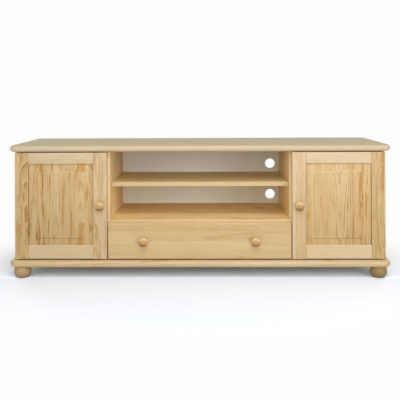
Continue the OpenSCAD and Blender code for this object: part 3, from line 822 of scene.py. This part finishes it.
def ease(node: str, width_mm: float) -> None:
    """Sets a copy of a board, with its sharp edges eased, in the board's place.

    Args:
        node: The board, already dressed.
        width_mm: How far the rounding reaches from each edge.
    """
    source = frame["nodes"][node]
    edit = bmesh.new()
    edit.from_mesh(source.data)
    bmesh.ops.remove_doubles(edit, verts=edit.verts, dist=WELD)
    flat, square = math.radians(1.0), math.radians(60.0)
    bmesh.ops.dissolve_limit(edit, angle_limit=flat, verts=edit.verts, edges=edit.edges)
    sharp = [e for e in edit.edges if e.is_manifold and e.calc_face_angle() > square]
    bmesh.ops.bevel(
        edit, geom=sharp, offset=width_mm * MM, offset_type="OFFSET", segments=2,
        profile=0.6, affect="EDGES", clamp_overlap=True,
    )
    mesh = bpy.data.meshes.new(f"eased_{node}")
    edit.to_mesh(mesh)
    edit.free()
    mesh.materials.append(source.material_slots[0].material)
    piece = settle(put(f"eased_{node}", mesh), source["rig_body"], 50.0)
    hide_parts(node)


def middle(node: str) -> Point:
    """The middle of a node's box."""
    return tuple((low + high) / 2 for low, high in zip(*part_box(node)))


class ScrewShape(Shape):
    """Screw heads with a cross recess, one on each point, each turned its own way."""

    NAME = "screw_heads"
    SIZES = {"Head Radius": 0.0035, "Head Height": 0.0014, "Slot Width": 0.0009, "Seed": 7}
    STEPS = 13, 20

    def outline(self, u: Wire) -> tuple[Wire, Wire]:
        """Rounds a flat head that is as deep below the face as above it.

        Args:
            u: Runs from 0 to 1 along the outline.

        Returns:
            The radius and the height.
        """
        angle = u * math.pi
        side = angle.cosine()
        wide = self.input("Head Radius") * (angle.sine().at_least(0.0) ** 0.5)
        return wide, self.input("Head Height") * side * (abs(side) ** -0.4)

    def instances(self) -> Wire:
        """Sets a head on each spot.

        Returns:
            The heads, each with a cross cut into it.
        """
        radius, height = self.input("Head Radius"), self.input("Head Height")
        size = self.join(radius * 1.15, self.input("Slot Width"), height * 1.2)
        bar = self.node("GeometryNodeMeshCube", {"Size": size})
        values = {"Geometry": bar, "Translation": self.join(0.0, 0.0, height)}
        bars = [
            self.node("GeometryNodeTransform", values | {"Rotation": (0.0, 0.0, turn)})
            for turn in (0.0, math.pi / 2)
        ]
        values = {"Mesh 1": self.revolved(), "Mesh 2": bars}
        cut = self.node("GeometryNodeMeshBoolean", values, operation="DIFFERENCE")
        values = {"Min": 0.0, "Max": math.tau, "Seed": self.input("Seed")}
        chance = self.node("FunctionNodeRandomValue", values, data_type="FLOAT")
        number = next(o for o in chance.socket.node.outputs if o.enabled)
        turn = self.join(0.0, 0.0, Wire(self, number))
        values = {"Instances": self.placed(cut), "Rotation": turn}
        return self.node("GeometryNodeRotateInstances", values)


class BradShape(Shape):
    """Low domed heads of brads, one on each point."""

    NAME = "brad_heads"
    SIZES = {"Head Radius": 0.0017, "Head Height": 0.0005}
    STEPS = 8, 14

    def outline(self, u: Wire) -> tuple[Wire, Wire]:
        """A flattened ball, half of it below the face."""
        radius, height, angle = self.input("Head Radius"), self.input("Head Height"), u * math.pi
        return radius * angle.sine().at_least(0.0), height * angle.cosine()


class FootShape(Shape):
    """Turned feet, one on each point: a round belly and a longer curve above it."""

    NAME = "turned_feet"
    SIZES = {
        "Height": 0.049, "Belly Radius": 0.036, "Belly Height": 0.025,
        "Low Curve": 0.030, "High Curve": 0.038, "Tool Mark": 0.00006, "Tool Pitch": 0.0011,
    }
    STEPS = 120, 72
    END: ClassVar[float] = 0.05  # the share of the outline that each flat end takes

    def outline(self, u: Wire) -> tuple[Wire, Wire]:
        """Joins the flat ends by the two curves, with fine tool marks.

        Args:
            u: Runs from 0 to 1 along the outline.

        Returns:
            The radius and the height.
        """
        top = 1.0 - self.END
        z = self.input("Height") * u.ramp(self.END, top)
        ends = u.ramp(0.0, self.END) * (1.0 - u.ramp(top, 1.0))
        off = z - self.input("Belly Height")
        low, high = (
            self.input(name) - (self.input(name) ** 2.0 - off * off).at_least(0.0).root()
            for name in ("Low Curve", "High Curve")
        )
        above = off.rise(-1e-5, 1e-5)
        inward = low * (1.0 - above) + high * above
        return (self.input("Belly Radius") - inward + self.mark(z)) * ends, z


class KnobShape(Shape):
    """Turned knobs, one on each point: a foot, a coved neck and a rounded head."""

    NAME = "turned_knobs"
    SIZES = {
        "Length": 0.031, "Head Radius": 0.019, "Head Back": 0.0085, "Head Front": 0.0115,
        "Neck Radius": 0.0085, "Foot Radius": 0.012, "Foot Thickness": 0.003,
        "Tool Mark": 0.00003, "Tool Pitch": 0.0009,
    }
    STEPS = 110, 56
    # The shares of the outline at which its parts end
    BACK, FOOT, NECK, COVE, CROWN = 0.05, 0.11, 0.22, 0.30, 0.97
    # The angle on the head at which the neck meets it
    START: ClassVar[float] = -math.acos(0.0085 / 0.019)

    def outline(self, u: Wire) -> tuple[Wire, Wire]:
        """Joins the flat back, the foot, the cove and the head up to its crown.

        Args:
            u: Runs from 0 to 1 along the outline.

        Returns:
            The radius and the height.
        """
        head_r, neck_r = self.input("Head Radius"), self.input("Neck Radius")
        foot_r, foot_t = self.input("Foot Radius"), self.input("Foot Thickness")
        back, front = self.input("Head Back"), self.input("Head Front")
        middle_z = self.input("Length") - front
        sweep = math.pi / 2 - self.START
        angle = self.START + sweep * u.ramp(self.COVE, 1.0)
        fore = angle.rise(-1e-4, 1e-4)
        head_z = middle_z + angle.sine() * (back + (front - back) * fore)
        low_r = foot_r * u.ramp(0.0, self.BACK)
        low_r = low_r - (foot_r - neck_r) * u.rise(self.FOOT, self.NECK)
        neck_z = middle_z + math.sin(self.START) * back
        low_z = foot_t * u.ramp(self.BACK, self.FOOT)
        low_z = low_z + (neck_z - foot_t) * u.ramp(self.FOOT, self.COVE)
        top_r = head_r * angle.cosine() + self.mark(head_z) * u.fall(self.CROWN, 1.0)
        above = u.rise(self.COVE - 1e-4, self.COVE + 1e-4)
        return low_r + (top_r - low_r) * above, low_z + (head_z - low_z) * above


def turn_knob(node: str, finish: Pine, body: str) -> None:
    """Turns a knob in place of the plain one.

    Args:
        node: The plain knob.
        finish: The knob's wood.
        body: The body that carries it.
    """
    low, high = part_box(node)
    x, _, z = middle(node)
    spot = Spot((x, high.y, z), (0.0, -1.0, 0.0))
    piece = KnobShape().grow(
        f"turned_{node}", [spot], finish.material(node), body, "turned_pine",
        Length=high.y - low.y, Head_Radius=(high.x - low.x) / 2,
    )
    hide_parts(node)


# Sub-assemblies


@dataclass
class Carcass:
    """Boards, panels, dividers, deck, shelves, back and feet."""

    board: Pine = Pine(
        grain=Axis.X, spread=Axis.Y, stave_mm=72.0,
        pale=(0.605, 0.453, 0.264), warm=(0.578, 0.413, 0.209),
    )
    # The inner wood is made paler than it is, as painted light in the shaded bays; the faces that
    # look to the front keep a plainer colour
    inner: Pine = Pine(
        grain=Axis.X, spread=Axis.Y, stave_mm=72.0, sheen=0.02, roughness=0.62,
        pale=(0.880, 0.678, 0.350), warm=(0.827, 0.583, 0.254), warmth=0.2,
        edge=(0.561, 0.407, 0.220), figure=0.28, streak=0.3,
    )
    # The feet are made darker, in part as painted shade under the base board, and have painted
    # light and shade: paler above, darker below
    foot: Pine = Pine(
        grain=Axis.Z, spread=Axis.X, stave_mm=400.0, figure=0.7, streak=0.7, tone=0.78,
        warmth=0.4, sheen=0.0, relief=0.15,
    )
    body: str = "cabinet"

    def dress(self) -> None:
        """Gives every carcass node its finish."""
        # Painted light and shade on the top board: its top is made darker and its front nose paler
        # than the one board is
        top = replace(
            self.board, seed=3.1, figure=0.25, streak=0.25, sheen=0.02, tone=0.92,
            pale=(0.529, 0.429, 0.246), warm=(0.508, 0.403, 0.212), edge=(0.616, 0.484, 0.319),
        )
        dress("top_board", top)
        dress("base_board", replace(self.board, seed=8.4))
        # The deck's and the shelf's front faces get their own colour, as painted light
        knots = (Knot(280.0, 60.0, 7.0), Knot(236.0, -20.0, 4.0), Knot(-30.0, 110.0, 4.0))
        deck = replace(self.inner, seed=5.3, knots=knots, edge=(0.590, 0.433, 0.240))
        dress("drawer_deck", deck)
        knots = (Knot(260.0, 80.0, 6.0), Knot(-120.0, 90.0, 4.0))
        shelf = replace(self.inner, seed=6.6, knots=knots, edge=(0.510, 0.380, 0.215))
        dress("center_shelf", shelf)
        for seed, side in ((2.2, Side.LEFT), (4.7, Side.RIGHT)):
            dress(f"side_panel_{side.word}", replace(self.board, grain=Axis.Z, seed=seed))
            # The dividers are made paler still, as painted light in the bays
            upright = replace(self.inner, grain=Axis.Z, seed=seed + 5.0, tone=1.1)
            dress(f"divider_{side.word}", upright)
            dress(f"shelf_{side.word}", replace(self.inner, seed=seed + 7.0))
        dress("back_panel", Hardboard())
        dress("carcass_dowels", BEECH)
        for node in ("foot_bolts", "shelf_pins"):
            dress(node, ZINC)

    def build(self) -> None:
        """Eases the boards and turns the four feet in place of the plain ones."""
        for node in ("drawer_deck", "center_shelf"):
            ease(node, 1.0)
        for side in Side:
            for name in ("side_panel", "divider", "shelf"):
                ease(f"{name}_{side.word}", 0.8)
        shape = FootShape()
        for place in ("front_left", "front_right", "back_left", "back_right"):
            node = f"foot_{place}"
            low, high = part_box(node)
            x, y, _ = middle(node)
            # The right feet are made darker still, as painted shade
            dark, warmth = (1.0, 0.30) if x < 0.0 else (0.74, 0.846)
            wood = replace(
                self.foot, seed=1.0 + 3.0 * x + 7.0 * y, warmth=warmth,
                tone=self.foot.tone * dark,
            )
            spot = Spot((x, y, low.z), (0.0, 0.0, 1.0))
            piece = shape.grow(
                f"turned_{node}", [spot], wood.material(node), self.body, "turned_pine",
                Height=high.z - low.z, Belly_Radius=(high.x - low.x) / 2,
            )
            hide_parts(node)


@dataclass
class Door:
    """One framed door with its raised panel and its knob."""

    side: Side
    stile: Pine = Pine(grain=Axis.Z, spread=Axis.X, stave_mm=120.0)
    rail: Pine = Pine(
        grain=Axis.X, spread=Axis.Z, stave_mm=120.0, figure=0.16, streak=0.15,
        pale=(0.583, 0.451, 0.281), warm=(0.561, 0.418, 0.237),
    )
    # The panel has painted light and shade: its faces that look up paler, those that look down
    # darker
    panel: Pine = Pine(
        grain=Axis.Z, spread=Axis.X, stave_mm=58.0, ring_mm=4.6, band_mm=8.5, figure=0.95,
        streak=1.0, tone=1.01, wander_mm=14.0, flow_mm=165.0, fade=0.16, relief=0.30,
        streaked=(0.425, 0.222, 0.045), late=(0.335, 0.155, 0.024),
    )
    # The knob has painted light and shade: paler and less warm above, darker and warmer below
    knob: Pine = Pine(
        grain=Axis.Y, spread=Axis.X, stave_mm=200.0, sheen=0.06, roughness=0.42, relief=0.38,
        pale=(0.560, 0.385, 0.190), warm=(0.500, 0.300, 0.095), warmth=0.1,
    )

    @property
    def prefix(self) -> str:
        """The start of the door's node names, which is also its body."""
        return f"door_{self.side.word}"

    def dress(self) -> None:
        """Gives every piece of the door its finish."""
        left = self.side is Side.LEFT
        shift, tone = (11.0, 0.95) if left else (23.0, 1.02)
        panel_seed, panel_warmth = (16.2, 0.20) if left else (35.7, 0.50)
        # The stiles and the top rail are darkened on the panel's side, a dark line at the join
        # with painted shade; the bottom rail has painted light on its faces that look up
        parts = {
            "outer_stile": replace(
                self.stile, seed=shift, figure=0.9, streak=1.0, warmth=0.5, ring_mm=5.0,
                band_mm=8.5, flow_mm=120.0, drift=0.14, joint=-0.45 * self.side.value,
                streaked=(0.395, 0.207, 0.042), late=(0.295, 0.137, 0.022), tone=1.02,
            ),
            "inner_stile": replace(
                self.stile, seed=shift + 1.3, figure=0.4, streak=0.4, pale=self.rail.pale,
                warmth=-0.35 if left else 0.0, joint=0.45 * self.side.value,
            ),
            "top_rail": replace(self.rail, seed=shift + 2.6, joint=-0.45),
            "bottom_rail": replace(
                self.rail, seed=shift + 3.9, relief=0.40, pale=(0.577, 0.437, 0.252),
            ),
            "panel": replace(self.panel, seed=panel_seed, warmth=panel_warmth),
            "knob_screw": ZINC,
            "bushes": NYLON,
            "strike": ZINC,
        }
        for part, finish in parts.items():
            if isinstance(finish, Pine):
                finish = replace(finish, tone=finish.tone * tone)
            dress(f"{self.prefix}_{part}", finish)

    def build(self) -> None:
        """Eases the frame's edges and turns the knob."""
        for part in ("outer_stile", "inner_stile", "top_rail", "bottom_rail"):
            ease(f"{self.prefix}_{part}", 0.7)
        finish = replace(self.knob, seed=17.5 + self.side.value)
        turn_knob(f"{self.prefix}_knob", finish, self.prefix)


@dataclass
class Drawer:
    """The drawer with its overlaid front, box, knobs and rails."""

    # The drawer front has painted light: its faces that look up are made paler, which fills the
    # shade at its top
    front: Pine = Pine(
        grain=Axis.X, spread=Axis.Z, stave_mm=80.0, figure=0.25, streak=0.3, seed=31.0,
        pale=(0.550, 0.397, 0.196), relief=0.4,
    )
    wall: Pine = Pine(
        grain=Axis.Y, spread=Axis.Z, stave_mm=140.0, figure=0.3, streak=0.3, roughness=0.62
    )
    body: str = "drawer"

    def dress(self) -> None:
        """Gives every piece of the drawer its finish."""
        dress("drawer_front", self.front)
        for seed, node in ((3.0, "drawer_side_left"), (4.1, "drawer_side_right")):
            dress(node, replace(self.wall, seed=seed))
        for seed, node in ((5.2, "drawer_box_front"), (6.3, "drawer_back")):
            dress(node, replace(self.wall, seed=seed, grain=Axis.X))
        dress("drawer_bottom", Hardboard())
        for side in Side:
            dress(f"drawer_rail_{side.word}", ENAMEL)
        for node in ("drawer_knob_screws", "drawer_front_screws"):
            dress(node, ZINC)

    def build(self) -> None:
        """Eases the front and the box and turns the two knobs."""
        ease("drawer_front", 1.2)
        for node in ("drawer_side_left", "drawer_side_right", "drawer_box_front", "drawer_back"):
            ease(node, 0.9)
        for side in Side:
            finish = replace(Door(side).knob, seed=44.0 + 3.0 * side.value)
            turn_knob(f"drawer_knob_{side.word}", finish, self.body)


@dataclass
class Hardware:
    """Runners, rollers, pivots and catches, with the screws that hold them."""

    screw: ScrewShape = field(default_factory=ScrewShape)
    brad: BradShape = field(default_factory=BradShape)
    web_mm: float = 1.2
    plate_mm: float = 2.5

    def dress(self) -> None:
        """Gives the fittings their finishes."""
        for side in Side:
            dress(f"runner_{side.word}", ENAMEL)
            dress(f"pivot_plates_{side.word}", YELLOW_ZINC)
            dress(f"front_roller_{side.word}", NYLON)
            dress(f"rear_roller_{side.word}", NYLON)
        dress("magnetic_catches", CATCH)

    def build(self) -> None:
        """Sets the small screws and the brads."""
        zinc = ZINC.material("screws")
        for side in Side:
            node = f"door_{side.word}_strike"
            x, _, z = middle(node)
            spot = Spot((x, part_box(node)[1].y, z), (0.0, 1.0, 0.0))
            self.screw.grow(
                f"{node}_screw", [spot], zinc, f"door_{side.word}", "zinc_steel",
                Head_Radius=0.0026, Head_Height=0.0002, Slot_Width=0.0007,
            )
        for name, body, shape, radius, height, spots in (
            ("runner_screws", "cabinet", self.screw, 0.0038, 0.0013, both(self.runner_spots())),
            ("rail_screws", "drawer", self.screw, 0.0034, 0.0012, both(self.rail_spots())),
            ("catch_screws", "cabinet", self.screw, 0.0030, 0.0011, both(self.catch_spots())),
            ("plate_screws", "cabinet", self.screw, 0.0034, 0.0005, both(self.plate_spots())),
            ("back_brads", "cabinet", self.brad, 0.0017, 0.0005, self.back_spots()),
            ("drawer_brads", "drawer", self.brad, 0.0017, 0.0005, both(self.drawer_spots())),
        ):
            heads = {"Head_Radius": radius, "Head_Height": height}
            shape.grow(name, spots, zinc, body, "zinc_steel", **heads)

    def row(self, node: str, x: float, z: float, facing: Point, *ys: float) -> list[Spot]:
        """Spots at some distances behind the front of a node."""
        return [Spot((x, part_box(node)[0].y + y, z), facing) for y in ys]

    def runner_spots(self) -> list[Spot]:
        """Three screws through the web of the right runner, into the divider."""
        x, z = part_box("runner_right")[1].x - self.web_mm * MM, middle("runner_right")[2]
        return self.row("runner_right", x, z, (-1.0, 0.0, 0.0), 0.055, 0.170, 0.300)

    def rail_spots(self) -> list[Spot]:
        """Three screws through the right drawer rail, into the drawer's side.

        Returns:
            Their spots.
        """
        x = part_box("drawer_side_right")[1].x + self.web_mm * MM
        z = middle("drawer_rail_right")[2] + 2.0 * MM
        return self.row("drawer_rail_right", x, z, (1.0, 0.0, 0.0), 0.030, 0.180, 0.300)

    def catch_spots(self) -> list[Spot]:
        """Two screws up through the right catch, into the top board.

        Returns:
            Their spots.
        """
        low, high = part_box("magnetic_catches")
        return self.row(
            "magnetic_catches", high.x - 7.0 * MM, low.z, (0.0, 0.0, -1.0), 0.015, 0.035
        )

    def plate_spots(self) -> list[Spot]:
        """Two screws with low heads in each of the right pivot plates.

        Returns:
            Their spots.
        """
        low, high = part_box("pivot_plates_right")
        y, face = middle("pivot_plates_right")[1], self.plate_mm * MM
        return [
            Spot((low.x + x, y, z), (0.0, 0.0, way))
            for x in (0.009, 0.027)
            for z, way in ((low.z + face, 1.0), (high.z - face, -1.0))
        ]

    def back_spots(self) -> list[Spot]:
        """Brads that hold the back to the dividers and to the deck.

        Returns:
            Their spots.
        """
        low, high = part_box("back_panel")
        x, deck_z = middle("divider_right")[0], middle("drawer_deck")[2]
        rises = (0.03, 0.11, 0.24, 0.32, 0.40, 0.45)
        places = [(s * x, low.z + z) for s in (-1, 1) for z in rises]
        places += [(0.11 * i, deck_z) for i in range(-3, 4)]
        return [Spot((x, high.y, z), (0.0, 1.0, 0.0)) for x, z in places]

    def drawer_spots(self) -> list[Spot]:
        """Brads through the drawer's right side, into its front and back.

        Returns:
            Their spots.
        """
        low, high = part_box("drawer_side_right")
        return [
            Spot((high.x, y, low.z + z), (1.0, 0.0, 0.0))
            for y in (low.y + 0.006, high.y - 0.006)
            for z in (0.058, 0.076, 0.092)
        ]


# Studio


@dataclass(frozen=True)
class Lamp:
    """A soft rectangular lamp."""

    name: str
    place: Point
    size: tuple[float, float]
    watts: float
    tint: Colour = (1.0, 1.0, 1.0)
    aim: Point = (0.0, -0.15, 0.33)

    def build(self) -> None:
        """Hangs the lamp and turns it to what it lights."""
        data = bpy.data.lights.new(self.name, "AREA")
        data.shape = "RECTANGLE"
        data.size, data.size_y = self.size
        data.energy = self.watts
        data.color = self.tint
        lamp = put(self.name, data)
        lamp.location = self.place
        aim = Vector(self.aim) - Vector(self.place)
        lamp.rotation_euler = aim.to_track_quat("-Z", "Y").to_euler()


@dataclass
class Studio:
    """Floor, light and camera."""

    ambient: float = 0.40
    white: float = 0.98
    lamps: tuple[Lamp, ...] = (
        Lamp("front", (0.0, -3.72, 1.15), (1.6, 1.6), 27.5),
        Lamp("left", (-2.18, -2.94, 1.10), (1.6, 1.6), 12.5, (1.0, 0.985, 0.96)),
        Lamp("right", (2.18, -2.94, 1.10), (1.6, 1.6), 33.5, (0.93, 0.97, 1.12)),
        Lamp("upper", (0.0, -3.10, 2.20), (1.4, 1.4), 18.0),
        Lamp("high", (0.3, -1.90, 3.00), (0.8, 0.8), 27.0),
        Lamp("rear left", (-2.4, 2.3, 1.0), (1.2, 1.2), 14.0),
        Lamp("rear right", (2.4, 2.3, 1.0), (1.2, 1.2), 14.0),
    )
    floor_size: float = 40.0
    floor_bounce: float = 0.80
    floor_gain: float = 1.06
    floor_reach_mm: tuple[float, float] = (1500.0, 1150.0)
    # Painted light on the floor: how much lighter the band along the cabinet's front is, and for
    # each colour the cast near the cabinet and below it
    strip_gain: float = 0.22
    tints: tuple[tuple[float, float], ...] = ((-0.03, -0.02), (0.02, 0.08), (0.09, 0.16))
    lens_mm: float = 54.10
    camera_place: Point = (0.04265, -2.7229, 0.7714)
    camera_yaw: float = 0.0150
    camera_roll: float = 0.00444
    camera_shift: float = -0.26025

    def build(self) -> None:
        """Sets up the whole studio."""
        self.camera()
        self.floor()
        self.world()
        for lamp in self.lamps:
            lamp.build()
        bpy.context.scene.view_settings.view_transform = "Standard"

    def camera(self) -> None:
        """A level camera at the photograph's place, shifted down to frame the cabinet."""
        data = bpy.data.cameras.new("camera")
        data.lens = self.lens_mm
        data.shift_y = self.camera_shift
        camera = put("camera", data)
        camera.location = self.camera_place
        camera.rotation_euler = (math.pi / 2, self.camera_roll, self.camera_yaw)
        bpy.context.scene.camera = camera

    def seen(self, graph: Graph) -> Wire:
        """Tells what is seen from what only lights.

        Args:
            graph: The graph that asks.

        Returns:
            1 for what the camera sees, straight or in gloss or glass, and 0 for light.
        """
        path = graph.node("ShaderNodeLightPath")
        kinds = ("Is Camera Ray", "Is Glossy Ray", "Is Transmission Ray")
        camera, glossy, through = (path.out(k) for k in kinds)
        return camera.at_least(glossy).at_least(through)

    def floor(self) -> None:
        """A pale floor that keeps the shadow and runs out into the white background."""
        half = self.floor_size / 2
        mesh = bpy.data.meshes.new("floor")
        corners = [(-half, -half, 0), (half, -half, 0), (half, half, 0), (-half, half, 0)]
        mesh.from_pydata(corners, [], [(0, 1, 2, 3)])
        floor = put("floor", mesh)
        surface = Surface("floor")
        x, y, _ = surface.place().split()
        wide, deep = self.floor_reach_mm
        away = ((x / wide) ** 2.0 + (y / deep) ** 2.0).root().rise(0.48, 0.80)
        seen = self.seen(surface)
        level = self.floor_bounce + (self.floor_gain - self.floor_bounce) * seen
        # Painted light on the floor, for the camera only: a cool cast near the cabinet, a cooler
        # and lighter shadow below it, and a lighter band along its front, in millimetres
        near = y.fall(60.0, 180.0) * seen
        between = abs(x).fall(790.0, 880.0)
        under = y.rise(-225.0, -165.0) * between * near
        painted_light_strip = y.fall(-165.0, -120.0) * y.rise(-205.0, -165.0) * between * seen
        level = level * (1.0 + self.strip_gain * painted_light_strip)
        shades = (level * (1.0 + nearby * near + below * under) for nearby, below in self.tints)
        lit = surface.node("ShaderNodeBsdfDiffuse", {"Color": surface.join(*shades)})
        white = surface.node("ShaderNodeEmission", {"Strength": self.white})
        whole = surface.node("ShaderNodeMixShader", {0: away * seen, 1: lit, 2: white})
        surface.node("ShaderNodeOutputMaterial", {"Surface": whole})
        mesh.materials.append(surface.material)

    def world(self) -> None:
        """An even grey light that looks white where it is seen."""
        world = bpy.data.worlds.new("studio")
        world.use_nodes = True
        world.node_tree.nodes.clear()
        graph = Graph(world.node_tree)
        strength = self.ambient + (self.white - self.ambient) * self.seen(graph)
        values = {"Color": (1.0, 1.0, 1.0, 1.0), "Strength": strength}
        light = graph.node("ShaderNodeBackground", values)
        graph.node("ShaderNodeOutputWorld", {"Surface": light})
        bpy.context.scene.world = world


def main() -> None:
    """Builds and dresses the cabinet, then the studio round it."""
    logging.basicConfig(level=logging.INFO, format="%(name)s: %(message)s")
    carcass = Carcass()
    carcass.dress()
    carcass.build()
    for part in (Door(Side.LEFT), Door(Side.RIGHT), Drawer()):
        part.dress()
        part.build()
    hardware = Hardware()
    hardware.dress()
    hardware.build()
    Studio().build()


if __name__ == "__main__":
    main()
